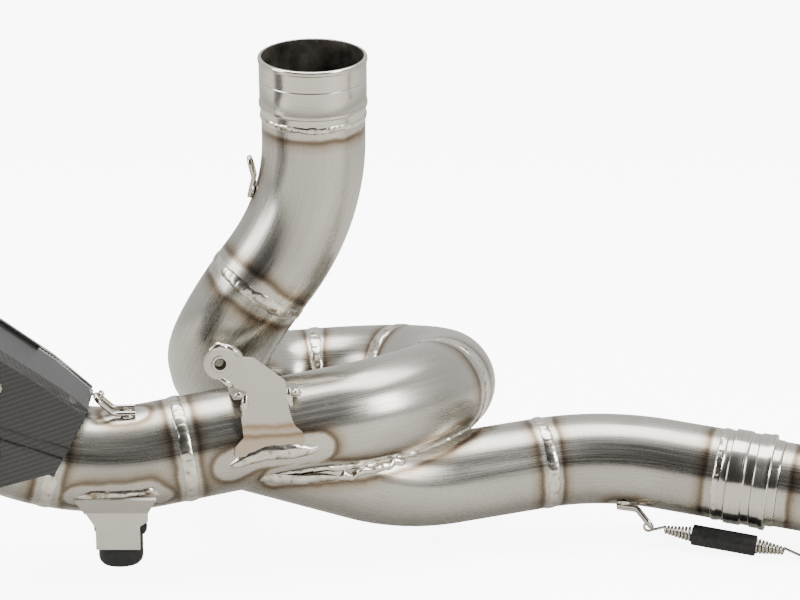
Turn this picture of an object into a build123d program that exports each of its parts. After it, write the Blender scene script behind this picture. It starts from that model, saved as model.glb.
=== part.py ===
from build123d import *
import os

os.makedirs("parts", exist_ok=True)

# Racing exhaust for a V-twin: two cylinder pipes that join in a collector and feed a carbon silencer.
# Frame: origin at the centre of the rear pipe's open socket, +X towards the front cylinder,
# +Y across the machine, +Z up. All sizes are in millimetres.

# Tubes
REAR_R = 30.0
FRONT_R = 27.0
HEADER_R = 25.4
WALL = 1.2
BEAD_HEIGHT = 0.9
BEAD_REACH = 2.6

# Corners of the rear line's centreline, from the socket round the loop to the silencer's inlet
REAR_CORNERS = [
    (0, 0, 0),
    (0, 20, -92),
    (-59, 12, -170),
    (-66, 141, -227),
    (74, 160, -219),
    (81, -5, -198),
    (-139, -51, -231),
]
REAR_BENDS = [118, 68, 60, 77, 82, 150]

# Corners of the front line's centreline, from the collector out to the front socket
FRONT_CORNERS = [(-45, -31, -218), (52, 5, -256), (171, 30, -243)]
FRONT_BENDS = [120, 150]
FRONT_RUN_OUT = 102.8

# Weld places, as lengths along the centrelines
SOCKET_WELD = 34.5
UPPER_WELD = 146.0
LINK_START = 355.0
LINK_END = 414.0
LOOP_WELD = 521.0
OUTLET_WELD = 696.0
SPIGOT_WELD = 770.0
FRONT_LEG_WELD = 195.0
FRONT_SOCKET_LENGTH = 30.3

# Slip joints
REAR_SOCKET_BORE_R = 29.4
REAR_SOCKET_BORE_DEPTH = 30.0
FRONT_SOCKET_BORE_R = 25.98
COLLAR_R = 25.92
COLLAR_START = 78.0
COLLAR_END = 108.0
SLIP_CLEARANCE = 0.06

# Header pipe, up to the front port
HEADER_CORNER_RUN = 225.0
HEADER_TOP = (40, 8, 155)
HEADER_BEND = 75.0
FLARE_R = 31.0
FLARE_THICK = 4.0
FLANGE_THICK = 8.0
FLANGE_STUD_PCD = 84.0
FLANGE_HOLE_R = 4.25

# Silencer, measured along its axis from the outlet bend's corner
SILENCER_WAY = (-0.88, -0.07, 0.47)
SPIGOT_TIP = 100.0
INLET_START = 64.0
INLET_END = 112.0
CORE_R = 28.0
CORE_END = 322.0
CARBON = 1.8
BODY_END = 330.0
# station: place, half width, roof half width, roof, shoulder, seam, floor, floor half width
STATIONS = [
    (8, 36, 28, 44.5, 41.5, 22, -32, 29.5),
    (35, 38.5, 31, 50.5, 47.5, 18.5, -37, 32),
    (70, 40.5, 33, 55, 51.5, 14, -41, 33.5),
    (140, 47, 38, 62, 58, 6, -50, 36),
    (BODY_END, 42, 34, 55, 51, 4, -42, 32),
]
SEAM_BAND = 7.0
CREST_SHARE = 0.147

# Small parts
WIRE_R = 1.5
HOOK_GAP = 3.6
HOOK_CLEAR = 0.65
SPRING_WIRE_R = 0.85
SPRING_END_R = 2.6
SPRING_MID_R = 4.6
SLEEVE_R = 6.2
SLEEVE_LENGTH = 38.0
PLATE = 2.0


def keep(piece, name):
    """Label a finished piece and write it."""
    piece.part.label = name
    export_step(piece.part, f"parts/{name}.step")
    return piece


# Directions along the two lines, and the sides of the front joint that carry its springs
LOW_SIDE = Vector(0, -0.48, -0.88)
BACK_SIDE = Vector(0, 0.9, -0.43)
rear_end = Vector(*REAR_CORNERS[-1])
silencer_way = Vector(*SILENCER_WAY).normalized()
front_last = Vector(*FRONT_CORNERS[-1])
front_way = Vector(172, -45, -19).normalized()
header_up = Vector(*HEADER_TOP).normalized()

with BuildLine() as rear_line:
    FilletPolyline(*REAR_CORNERS, rear_end + silencer_way * SPIGOT_TIP, radius=REAR_BENDS)
rear_wire = rear_line.wire()

with BuildLine() as front_line:
    FilletPolyline(*FRONT_CORNERS, front_last + front_way * FRONT_RUN_OUT, radius=FRONT_BENDS)
front_wire = front_line.wire()

header_corner = front_last + front_way * HEADER_CORNER_RUN
header_top = header_corner + Vector(*HEADER_TOP)
with BuildLine() as header_line:
    FilletPolyline(front_last + front_way * COLLAR_END, header_corner, header_top, radius=HEADER_BEND)
header_wire = header_line.wire()


def stretch(wire, start, end):
    """The part of a centreline between two lengths along it."""
    return wire.trim(start / wire.length, min(end / wire.length, 1.0))


def side_way(way, towards):
    """The direction nearest to `towards` that is square to `way`."""
    return (towards - way * way.dot(towards)).normalized()


def pipe(path, outer, wall, bead_at_start=True, bead_at_end=True):
    """A tube swept along a path, with half of a raised weld bead on each welded end."""
    start = path.position_at(0)
    with BuildPart() as tube:
        with BuildLine():
            add(path)
        with BuildSketch(Plane(origin=start, z_dir=path.tangent_at(0))):
            Circle(outer)
            Circle(outer - wall, mode=Mode.SUBTRACT)
        sweep()
        for place, sign, wanted in ((0, 1, bead_at_start), (1, -1, bead_at_end)):
            if wanted:
                way = path.tangent_at(place)
                out = side_way(way, Vector(0.3, 0.5, 0.81))
                at = path.position_at(place)
                with BuildSketch(Plane(origin=at, x_dir=out, z_dir=out.cross(way))):
                    with BuildLine():
                        Polyline(
                            (outer - wall / 2, 0),
                            (outer + BEAD_HEIGHT, 0),
                            (outer + 0.75 * BEAD_HEIGHT, sign * 0.6 * BEAD_REACH),
                            (outer - wall / 2, sign * BEAD_REACH),
                            close=True,
                        )
                    make_face()
                revolve(axis=Axis(at, way))
    return tube


def turned(origin, way, profile):
    """A ring or sleeve turned about an axis, from (radius, length along the axis) points."""
    out = side_way(way, Vector(0.3, 0.5, 0.81))
    with BuildPart() as ring:
        with BuildSketch(Plane(origin=origin, x_dir=out, z_dir=out.cross(way))):
            with BuildLine():
                Polyline(*profile, close=True)
            make_face()
        revolve(axis=Axis(origin, way))
    return ring


def rod(path, radius):
    """A solid round rod along a path."""
    with BuildPart() as bar:
        with BuildLine():
            add(path)
        with BuildSketch(Plane(origin=path.position_at(0), z_dir=path.tangent_at(0))):
            Circle(radius)
        sweep()
    return bar


# --- Rear line, split at its welds -------------------------------------------------------------
socket_way = rear_wire.tangent_at(0)
rear_socket = turned(
    Vector(0, 0, 0),
    socket_way,
    [
        (REAR_SOCKET_BORE_R, 0),
        (30.8, 0),
        (31.4, 0.8),
        (31.4, 12.2),
        (30.8, 13.4),
        (30.8, 27),
        (30.2, 29),
        (30.2, SOCKET_WELD - BEAD_REACH),
        (REAR_R + BEAD_HEIGHT, SOCKET_WELD - 0.6),
        (REAR_R + BEAD_HEIGHT, SOCKET_WELD),
        (REAR_R - WALL, SOCKET_WELD),
        (REAR_R - WALL, REAR_SOCKET_BORE_DEPTH),
        (REAR_SOCKET_BORE_R, REAR_SOCKET_BORE_DEPTH),
    ],
)
keep(rear_socket, "rear_socket")

rear_upper_bend = pipe(stretch(rear_wire, SOCKET_WELD, UPPER_WELD), REAR_R, WALL)
keep(rear_upper_bend, "rear_upper_bend")
rear_lower_bend = pipe(stretch(rear_wire, UPPER_WELD, LINK_START), REAR_R, WALL)
keep(rear_lower_bend, "rear_lower_bend")
link_tube = pipe(stretch(rear_wire, LINK_START, LINK_END), REAR_R, WALL)
keep(link_tube, "link_tube")
loop_back_bend = pipe(stretch(rear_wire, LINK_END, LOOP_WELD), REAR_R, WALL)
keep(loop_back_bend, "loop_back_bend")

# --- Collector: the front leg runs into the rear leg's side at a shallow angle ------------------
front_leg_path = stretch(front_wire, 0, FRONT_LEG_WELD)
rear_leg_path = stretch(rear_wire, LOOP_WELD, OUTLET_WELD)
front_leg_bore = rod(front_leg_path, FRONT_R - WALL)
rear_leg_outside = rod(stretch(rear_wire, LOOP_WELD - 60, OUTLET_WELD), REAR_R + 0.02)

collector_rear_leg = pipe(rear_leg_path, REAR_R, WALL)
with BuildPart() as joined_rear_leg:
    add(collector_rear_leg.part)
    add(front_leg_bore.part, mode=Mode.SUBTRACT)
keep(joined_rear_leg, "collector_rear_leg")

collector_front_leg = pipe(front_leg_path, FRONT_R, WALL, bead_at_start=False)
with BuildPart() as joined_front_leg:
    add(collector_front_leg.part)
    add(rear_leg_outside.part, mode=Mode.SUBTRACT)
    add(collector_rear_leg.part, mode=Mode.SUBTRACT)
    add(loop_back_bend.part, mode=Mode.SUBTRACT)
keep(joined_front_leg, "collector_front_leg")

outlet_bend = pipe(stretch(rear_wire, OUTLET_WELD, SPIGOT_WELD), REAR_R, WALL)
keep(outlet_bend, "outlet_bend")
outlet_spigot = pipe(stretch(rear_wire, SPIGOT_WELD, rear_wire.length), REAR_R, WALL, bead_at_end=False)
keep(outlet_spigot, "outlet_spigot")

# --- Front line --------------------------------------------------------------------------------
front_socket_start = front_wire.length - FRONT_SOCKET_LENGTH
front_bend = pipe(stretch(front_wire, FRONT_LEG_WELD, front_socket_start), FRONT_R, WALL)
keep(front_bend, "front_bend")

socket_base = front_last + front_way * (FRONT_RUN_OUT - FRONT_SOCKET_LENGTH)
front_socket = turned(
    socket_base,
    front_way,
    [
        (FRONT_R - WALL, 0),
        (FRONT_R + BEAD_HEIGHT, 0),
        (FRONT_R + 0.7, 2.0),
        (FRONT_R + 0.2, 3.0),
        (FRONT_R + 0.2, 5.5),
        (28.3, 6.2),
        (28.3, 15.5),
        (27.6, 16.2),
        (27.6, 20.8),
        (28.3, 21.5),
        (28.3, 26.6),
        (28.8, 27.4),
        (28.8, FRONT_SOCKET_LENGTH - 0.6),
        (28.2, FRONT_SOCKET_LENGTH),
        (FRONT_SOCKET_BORE_R + 0.5, FRONT_SOCKET_LENGTH),
        (FRONT_SOCKET_BORE_R, FRONT_SOCKET_LENGTH - 0.8),
        (FRONT_SOCKET_BORE_R, 4.5),
        (FRONT_R - WALL, 4.5),
    ],
)
keep(front_socket, "front_socket")

# Header pipe that slides in the front socket and turns up to the front cylinder's port
collar_length = COLLAR_END - COLLAR_START
header_collar = turned(
    front_last + front_way * COLLAR_START,
    front_way,
    [
        (HEADER_R - WALL, 0),
        (COLLAR_R - 0.6, 0),
        (COLLAR_R, 1.0),
        (COLLAR_R, collar_length - 1.5),
        (HEADER_R, collar_length),
        (HEADER_R - WALL, collar_length),
    ],
)
keep(header_collar, "header_collar")
header_pipe = pipe(header_wire, HEADER_R, WALL, bead_at_end=False)
keep(header_pipe, "header_pipe")
header_flare = turned(
    header_top,
    header_up,
    [
        (HEADER_R - WALL, 0),
        (HEADER_R + 0.8, 0),
        (FLARE_R - 1, 1.5),
        (FLARE_R, 2.5),
        (FLARE_R, FLARE_THICK),
        (HEADER_R - WALL, FLARE_THICK),
    ],
)
keep(header_flare, "header_flare")
port_gasket = turned(
    header_top + header_up * FLARE_THICK,
    header_up,
    [(HEADER_R, 0), (FLARE_R - 0.5, 0), (FLARE_R, 1.0), (FLARE_R - 0.5, 2.0), (HEADER_R, 2.0)],
)
keep(port_gasket, "port_gasket")

# Loose flange behind the flare: two stud ears on a thick ring
flange_plane = Plane(
    origin=header_top - header_up * (FLANGE_THICK + 1.0),
    x_dir=side_way(header_up, Vector(1, 0.6, 0)),
    z_dir=header_up,
)
with BuildPart() as port_flange:
    with BuildSketch(flange_plane):
        Circle(35)
        with Locations((-FLANGE_STUD_PCD / 2, 0), (FLANGE_STUD_PCD / 2, 0)):
            Circle(10)
        make_hull()
    extrude(amount=FLANGE_THICK)
    with BuildSketch(flange_plane):
        Circle(HEADER_R + SLIP_CLEARANCE)
        with Locations((-FLANGE_STUD_PCD / 2, 0), (FLANGE_STUD_PCD / 2, 0)):
            Circle(FLANGE_HOLE_R)
    extrude(amount=FLANGE_THICK, mode=Mode.SUBTRACT)
keep(port_flange, "port_flange")


# --- Spring hooks: a bent wire staple welded on the tube ---------------------------------------
def hook(foot, forward, outward, lift=9.0, reach=9.0):
    """A U of wire: two welded feet along the tube and a raised loop that points forward."""
    out = side_way(forward, outward)
    plane = Plane(origin=foot, x_dir=forward, z_dir=out)
    low = WIRE_R
    path_points = [
        (-13, -HOOK_GAP, low),
        (-1, -HOOK_GAP, low),
        (reach, -HOOK_GAP, low + lift),
        (reach, HOOK_GAP, low + lift),
        (-1, HOOK_GAP, low),
        (-13, HOOK_GAP, low),
    ]
    with BuildLine(plane) as bent:
        FilletPolyline(*path_points, radius=[5, 3.5, 3.5, 5])
    return rod(bent.wire(), WIRE_R)


def hook_on(wire, along, outward, radius, forward_sign=1, lift=9.0, reach=9.0):
    """A hook on a centreline's tube, at a length along it."""
    share = along / wire.length
    way = wire.tangent_at(share)
    out = side_way(way, outward)
    return hook(wire.position_at(share) + out * radius, way * forward_sign, out, lift, reach)


rear_hook_left = hook_on(rear_wire, 80, Vector(-1, 0, 0), REAR_R + HOOK_CLEAR, -1, lift=5)
keep(rear_hook_left, "rear_hook_left")
rear_hook_back = hook_on(rear_wire, 80, Vector(0.6, 0.8, 0), REAR_R + HOOK_CLEAR, -1, lift=5)
keep(rear_hook_back, "rear_hook_back")

front_hook_low = hook_on(front_wire, 256, LOW_SIDE, FRONT_R + HOOK_CLEAR, 1, lift=10)
keep(front_hook_low, "front_hook_low")
front_hook_back = hook_on(front_wire, 256, BACK_SIDE, FRONT_R + HOOK_CLEAR, 1, lift=10)
keep(front_hook_back, "front_hook_back")
header_hook_low = hook_on(header_wire, 33, LOW_SIDE, HEADER_R + HOOK_CLEAR, -1, lift=11.5)
keep(header_hook_low, "header_hook_low")
header_hook_back = hook_on(header_wire, 33, BACK_SIDE, HEADER_R + HOOK_CLEAR, -1, lift=11.5)
keep(header_hook_back, "header_hook_back")
outlet_hook_top = hook_on(rear_wire, 737, Vector(0, -0.3, 0.95), REAR_R + HOOK_CLEAR, 1, lift=10)
keep(outlet_hook_top, "outlet_hook_top")
outlet_hook_low = hook_on(rear_wire, 737, Vector(0, 0.95, -0.3), REAR_R + HOOK_CLEAR, 1, lift=8)
keep(outlet_hook_low, "outlet_hook_low")


# --- Springs: one closed barrel stands for the coils, with a wire arm to each hook -----------------
def spring(coil_start, coil_end, arm_start, arm_end):
    """A tension spring between two hooks: tapered coil barrel and two wire arms."""
    way = (coil_end - coil_start).normalized()
    length = (coil_end - coil_start).length
    taper = 0.21 * length
    barrel = turned(
        coil_start,
        way,
        [
            (0, 0),
            (SPRING_END_R, 0),
            (SPRING_MID_R, taper),
            (SPRING_MID_R, length - taper),
            (SPRING_END_R, length),
            (0, length),
        ],
    )
    with BuildPart() as whole:
        add(barrel.part)
        for inner, outer in ((coil_start + way, arm_start), (coil_end - way, arm_end)):
            with BuildLine():
                Line(inner, outer)
            with BuildSketch(Plane(origin=inner, z_dir=outer - inner)):
                Circle(SPRING_WIRE_R)
            sweep()
    return whole


def sleeve(coil_start, coil_end):
    """The black rubber sleeve round the middle of a spring."""
    way = (coil_end - coil_start).normalized()
    middle = (coil_start + coil_end) * 0.5
    bore = SPRING_MID_R + 0.1
    half = SLEEVE_LENGTH / 2
    return turned(
        middle - way * half,
        way,
        [
            (bore, 0),
            (SLEEVE_R - 0.4, 0),
            (SLEEVE_R, 0.5),
            (SLEEVE_R, 2 * half - 0.5),
            (SLEEVE_R - 0.4, 2 * half),
            (bore, 2 * half),
        ],
    )


FRONT_SPRING_OFF = 39.0
for side_name, outward in (("low", LOW_SIDE), ("back", BACK_SIDE)):
    out = side_way(front_way, outward)
    coil_from = front_last + front_way * 46 + out * FRONT_SPRING_OFF
    coil_to = front_last + front_way * 117 + out * FRONT_SPRING_OFF
    arm_from = front_last + front_way * 39.2 + out * FRONT_SPRING_OFF
    arm_to = front_last + front_way * 129 + out * FRONT_SPRING_OFF
    keep(spring(coil_from, coil_to, arm_from, arm_to), f"front_spring_{side_name}")
    keep(sleeve(coil_from, coil_to), f"spring_sleeve_{side_name}")


# --- Silencer ------------------------------------------------------------------------------------
across = Vector(0, 0, 1).cross(silencer_way).normalized()
upright = silencer_way.cross(across)
SILENCER = Plane(origin=rear_end, x_dir=across, z_dir=silencer_way)
SIDE_VIEW = Plane(origin=rear_end, x_dir=silencer_way, z_dir=silencer_way.cross(upright))


def at_station(place):
    """The body's section sizes at a place along its axis, between the listed stations."""
    for near, far in zip(STATIONS, STATIONS[1:]):
        if place <= far[0]:
            share = (place - near[0]) / (far[0] - near[0])
            return [a + (b - a) * share for a, b in zip(near, far)]
    return list(STATIONS[-1])


def both_sides(points):
    """A closed outline from the points of its near half, listed from the bottom up."""
    return points + [(-x, y) for x, y in reversed(points)]


def crest(place):
    """The height of the roof's ridge, along the silencer's middle."""
    return at_station(place)[3] + CREST_SHARE * at_station(place)[2]


def upper_outline(place, inset, drop=0.0):
    _, width, roof_width, roof, shoulder, seam, _, _ = at_station(place)
    return both_sides(
        [
            (width - inset, seam - drop),
            (width - inset, shoulder - 0.5 * inset),
            (roof_width - 0.4 * inset, roof - inset),
            (0.1, crest(place) - inset),
        ]
    )


def lower_outline(place, inset, rise=0.0):
    _, width, _, _, _, seam, floor, floor_width = at_station(place)
    edge = width - 1.0 - inset
    return both_sides(
        [
            (floor_width - 0.6 * inset, floor + inset),
            (edge, seam - SEAM_BAND + 0.3 * inset),
            (edge, seam + rise),
        ]
    )


def whole_outline(place, inset):
    _, width, roof_width, roof, shoulder, seam, floor, floor_width = at_station(place)
    edge = width - 1.0 - inset
    return both_sides(
        [
            (floor_width - 0.6 * inset, floor + inset),
            (edge, seam - SEAM_BAND + 0.3 * inset),
            (edge, shoulder - 0.5 * inset),
            (roof_width - 1.0 - 0.4 * inset, roof - inset),
            (0.1, crest(place) - inset),
        ]
    )


def lofted(outline, places, *sizes):
    """A straight-sided loft through one outline at several places along the silencer."""
    with BuildPart() as body:
        for place in places:
            with BuildSketch(SILENCER.offset(place)):
                with BuildLine():
                    Polyline(*outline(place, *sizes), close=True)
                make_face()
        loft(ruled=True)
    return body


def in_silencer(side, height, along):
    """A point given across, up and along the silencer."""
    return rear_end + across * side + upright * height + silencer_way * along


# Rivets through the seam band and the upper face, on both sides
RIVET_HEAD_R = 3.4
RIVET_HEAD = 1.6
RIVET_SHANK_R = 1.6
with BuildPart() as silencer_rivets:
    for side in (1, -1):
        for along, height in ((58, 36), (140, 34), (300, 28), (42, 0), (140, -12), (215, -12), (300, -10)):
            _, width, _, _, _, seam, floor, floor_width = at_station(along)
            if height > seam:
                surface = width
            else:
                top = seam - SEAM_BAND
                surface = width - 1 + (height - top) / (floor - top) * (floor_width - width + 1)
            shank_foot = in_silencer(side * (surface - CARBON - 0.2), height, along)
            with BuildSketch(Plane(origin=shank_foot, z_dir=across * side)):
                Circle(RIVET_SHANK_R)
            extrude(amount=CARBON + 1)
            head_foot = in_silencer(side * (surface - 0.1), height, along)
            with BuildSketch(Plane(origin=head_foot, z_dir=across * side)):
                Circle(RIVET_HEAD_R)
            extrude(amount=RIVET_HEAD, taper=25)
keep(silencer_rivets, "silencer_rivets")

places = [station[0] for station in STATIONS]
upper_outside = lofted(upper_outline, places, 0.0)
upper_inside = lofted(upper_outline, places, CARBON, 1.0)
lower_outside = lofted(lower_outline, places, 0.0)
lower_inside = lofted(lower_outline, places, CARBON, 1.0)

# The roof's far slope has a channel in which the upper spring lies
CHANNEL_SIDE = -12.0
CHANNEL_R = 7.0
channel_low = in_silencer(CHANNEL_SIDE, 43.8, -4)
channel_high = in_silencer(CHANNEL_SIDE, 54.7, 84)
channel_path = Edge.make_line(channel_low, channel_high)
channel_outside = rod(channel_path, CHANNEL_R + CARBON)
channel_inside = rod(channel_path, CHANNEL_R)
with BuildPart() as channel_wall:
    add(channel_outside.part)
    add(upper_outside.part, mode=Mode.INTERSECT)

with BuildPart() as silencer_upper_shell:
    add(upper_outside.part)
    add(upper_inside.part, mode=Mode.SUBTRACT)
    add(channel_wall.part)
    add(channel_inside.part, mode=Mode.SUBTRACT)
    add(silencer_rivets.part, mode=Mode.SUBTRACT)
keep(silencer_upper_shell, "silencer_upper_shell")

with BuildPart() as silencer_lower_shell:
    add(lower_outside.part)
    add(lower_inside.part, mode=Mode.SUBTRACT)
    with BuildSketch(SIDE_VIEW):
        with BuildLine():
            Polyline((-30, 3), (11, 3), (54, -36), (54, -90), (-30, -90), close=True)
        make_face()
    extrude(amount=90, both=True, mode=Mode.SUBTRACT)
    add(silencer_rivets.part, mode=Mode.SUBTRACT)
keep(silencer_lower_shell, "silencer_lower_shell")

# Inlet socket, core and the two plates that close the silencing chamber
inlet_socket = turned(
    rear_end + silencer_way * INLET_START,
    silencer_way,
    [
        (REAR_R + SLIP_CLEARANCE + 0.5, 0),
        (32.2, 0),
        (32.2, INLET_END - INLET_START),
        (CORE_R - WALL, INLET_END - INLET_START),
        (CORE_R - WALL, INLET_END - INLET_START - 2),
        (REAR_R + SLIP_CLEARANCE, INLET_END - INLET_START - 4),
        (REAR_R + SLIP_CLEARANCE, 0.8),
    ],
)
keep(inlet_socket, "inlet_socket")

FRONT_PLATE_PLACE = 90.0
REAR_PLATE_PLACE = 326.0
PLATE_THICK = 2.0
for name, place, hole in (
    ("front_plate", FRONT_PLATE_PLACE, 32.2),
    ("rear_plate", REAR_PLATE_PLACE, 25.0),
):
    blank = lofted(whole_outline, [place, place + PLATE_THICK], CARBON + 0.15)
    with BuildPart() as plate:
        add(blank.part)
        with BuildSketch(SILENCER.offset(place - 1)):
            Circle(hole)
        extrude(amount=PLATE_THICK + 2, mode=Mode.SUBTRACT)
    keep(plate, name)

HOLE_R = 1.8
HOLE_ROWS = 14
HOLES_ROUND = 6
with BuildPart() as perforated_core:
    with BuildSketch(SILENCER.offset(INLET_END)):
        Circle(CORE_R)
        Circle(CORE_R - WALL, mode=Mode.SUBTRACT)
    extrude(amount=CORE_END - INLET_END)
    for turn in range(HOLES_ROUND):
        with BuildSketch(Plane(SIDE_VIEW.location * Rotation(180 / HOLES_ROUND * turn, 0, 0))):
            with Locations(((INLET_END + CORE_END) / 2, 0)):
                with GridLocations(14, 1, HOLE_ROWS, 1):
                    Circle(HOLE_R)
        extrude(amount=CORE_R + 5, both=True, mode=Mode.SUBTRACT)
keep(perforated_core, "perforated_core")

wool_places = [INLET_END + 1, STATIONS[3][0], CORE_END]
wool_blank = lofted(whole_outline, wool_places, CARBON + 0.6)
with BuildPart() as packing_wool:
    add(wool_blank.part)
    with BuildSketch(SILENCER.offset(INLET_END)):
        Circle(CORE_R + 0.3)
    extrude(amount=CORE_END - INLET_END + 2, mode=Mode.SUBTRACT)
keep(packing_wool, "packing_wool")

# Tail: carbon end cap and the outlet ring
TAIL_R = 25.0
end_blank = lofted(whole_outline, [BODY_END + 0.1, BODY_END + 3], 0.0)
with BuildPart() as end_cap:
    add(end_blank.part)
    with BuildSketch(SILENCER.offset(BODY_END)):
        Circle(TAIL_R + 2)
    extrude(amount=5, mode=Mode.SUBTRACT)
keep(end_cap, "end_cap")
tail_ring = turned(
    rear_end + silencer_way * REAR_PLATE_PLACE,
    silencer_way,
    [
        (TAIL_R - 1.5, 0),
        (TAIL_R, 0),
        (TAIL_R, 6),
        (TAIL_R + 2, 6),
        (TAIL_R + 2, 14),
        (TAIL_R + 3.5, 22),
        (TAIL_R + 2, 24),
        (TAIL_R - 1.5, 16),
    ],
)
keep(tail_ring, "tail_ring")

# Hanger strap with a lug for the footrest bolt
STRAP_START = 236.0
STRAP_WIDTH = 20.0
strap_places = [STRAP_START, STRAP_START + STRAP_WIDTH]
strap_outside = lofted(whole_outline, strap_places, -2.2)
strap_inside = lofted(whole_outline, strap_places, -1.1)
lug_place = STRAP_START + STRAP_WIDTH / 2
lug_roof = at_station(lug_place)[3]
with BuildPart() as hanger_strap:
    add(strap_outside.part)
    add(strap_inside.part, mode=Mode.SUBTRACT)
    with BuildSketch(SIDE_VIEW):
        with Locations((lug_place, lug_roof + 16.3)):
            Rectangle(STRAP_WIDTH, 19)
    extrude(amount=1.5, both=True)
    with BuildSketch(SIDE_VIEW):
        with Locations((lug_place, lug_roof + 17)):
            Circle(4.25)
    extrude(amount=5, both=True, mode=Mode.SUBTRACT)
keep(hanger_strap, "hanger_strap")

# Carbon guard strip along the ridge of the roof
GUARD_START = 46.0
GUARD_END = 225.0


def guard_outline(place):
    top = crest(place)
    return [(-6, top - 0.75), (0, top + 0.1), (0, top + 2), (-6, top + 1.1)]


guard = lofted(guard_outline, [GUARD_START, STATIONS[2][0], STATIONS[3][0], GUARD_END])
keep(guard, "silencer_guard")

# Silencer spring hooks and springs
UPPER_HOOK = in_silencer(CHANNEL_SIDE, crest(98) + 0.3, 98)
silencer_hook_top = hook(UPPER_HOOK, silencer_way * -1, upright, lift=0.5, reach=9)
keep(silencer_hook_top, "silencer_hook_top")
LOWER_HOOK = in_silencer(-at_station(98)[1] - 1.8, 0, 98)
silencer_hook_low = hook(LOWER_HOOK, silencer_way * -1, across * -1, lift=3.0, reach=9)
keep(silencer_hook_low, "silencer_hook_low")
silencer_spring_top = spring(
    in_silencer(CHANNEL_SIDE, 46.8, 20),
    in_silencer(CHANNEL_SIDE, 53.4, 72),
    in_silencer(-6, 50.5, 13),
    in_silencer(CHANNEL_SIDE, 61.5, 85),
)
keep(silencer_spring_top, "silencer_spring_top")
silencer_spring_low = spring(
    in_silencer(-44.5, 0, 14),
    in_silencer(-47.5, 0, 76),
    in_silencer(-42.0, 0, 4),
    in_silencer(-48.5, 0, 87),
)
keep(silencer_spring_low, "silencer_spring_low")

# --- Frame bracket on the collector: a folded plate with an eye, an insert and a gusset ---------------
BRACKET = Plane(origin=(-28, -27.6, -214.5), x_dir=(0.979, 0.203, 0), z_dir=(0.203, -0.979, 0))
BRACKET_OFF = 30.4
EYE_AT = (-29.5, 49.5)
EYE_R = 9.0
EYE_THICK = 3.0
INSERT_R = 4.6
INSERT_BORE_R = 3.4
INSERT_LENGTH = 8.0
with BuildPart() as frame_bracket:
    with BuildSketch(BRACKET.offset(BRACKET_OFF)):
        with BuildLine():
            Polyline(
                (-22, -5),
                (-21.5, 1),
                (-16.8, 6),
                (-18, 17),
                (-15, 33),
                (-21, 35),
                (-29, 41),
                (-29, 58),
                (-25, 57),
                (-16.4, 52.8),
                (-10.5, 52),
                (7.1, 38),
                (9.2, 21),
                (11, 14.5),
                (13, 11),
                (16.5, 8),
                (18.2, 3),
                (16, -3),
                close=True,
            )
        make_face()
        with Locations(EYE_AT):
            Circle(EYE_R, mode=Mode.SUBTRACT)
    extrude(amount=PLATE)
keep(frame_bracket, "frame_bracket")
with BuildPart() as bracket_eye:
    with BuildSketch(BRACKET.offset(BRACKET_OFF - 0.5)):
        with Locations(EYE_AT):
            Circle(EYE_R)
            Circle(INSERT_R, mode=Mode.SUBTRACT)
    extrude(amount=EYE_THICK)
keep(bracket_eye, "bracket_eye")
with BuildPart() as bracket_insert:
    with BuildSketch(BRACKET.offset(BRACKET_OFF - INSERT_LENGTH + EYE_THICK)):
        with Locations(EYE_AT):
            Circle(INSERT_R)
            Circle(INSERT_BORE_R, mode=Mode.SUBTRACT)
    extrude(amount=INSERT_LENGTH)
keep(bracket_insert, "bracket_insert")
bracket_pipe = rod(stretch(rear_wire, LOOP_WELD + 60, OUTLET_WELD), REAR_R + 0.05)
with BuildPart() as bracket_gusset:
    with BuildSketch(BRACKET.offset(8)):
        with Locations((-3, 29.5)):
            Rectangle(38, 3)
    extrude(amount=BRACKET_OFF - 8)
    add(bracket_pipe.part, mode=Mode.SUBTRACT)
keep(bracket_gusset, "bracket_gusset")

# --- Stand stop under the outlet: folded plate, rubber buffer behind it and a cross pin ------------------
STOP_MIDDLE = (-109.5, -52.4)
STOP_FRONT = -63.0
STOP_RUBBER_R = 12.7
STOP_RUBBER_LOW = -285.0
STOP_RUBBER_HIGH = -256.0
STOP_PIN_R = 5.0
STOP_PIN_AT = -263.0
STOP_PIN_HALF = 15.3
FACE = Plane(origin=(0, STOP_FRONT, 0), x_dir=(1, 0, 0), z_dir=(0, -1, 0))
STOP_NORMAL = Vector(0, -0.766, -0.643)
outlet_middle = rear_wire.position_at(733 / rear_wire.length)
FLANGE = Plane(
    origin=outlet_middle + STOP_NORMAL * (REAR_R + 0.4),
    x_dir=(1, 0, 0),
    z_dir=STOP_NORMAL,
)
with BuildPart() as stand_stop_bracket:
    with BuildSketch(FACE):
        with BuildLine():
            Polyline(
                (-128, -251.6),
                (-92.5, -251.6),
                (-92.5, -256.5),
                (-97.2, -259.7),
                (-97.2, -273.2),
                (-122.2, -273.2),
                (-122.2, -260.5),
                close=True,
            )
        make_face()
    extrude(amount=PLATE)
    with BuildSketch(FLANGE):
        with BuildLine():
            Polyline((-17.5, -8.6), (18, -8.6), (24, 6), (-22, 6), close=True)
        make_face()
    extrude(amount=PLATE)
keep(stand_stop_bracket, "stand_stop_bracket")

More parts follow.
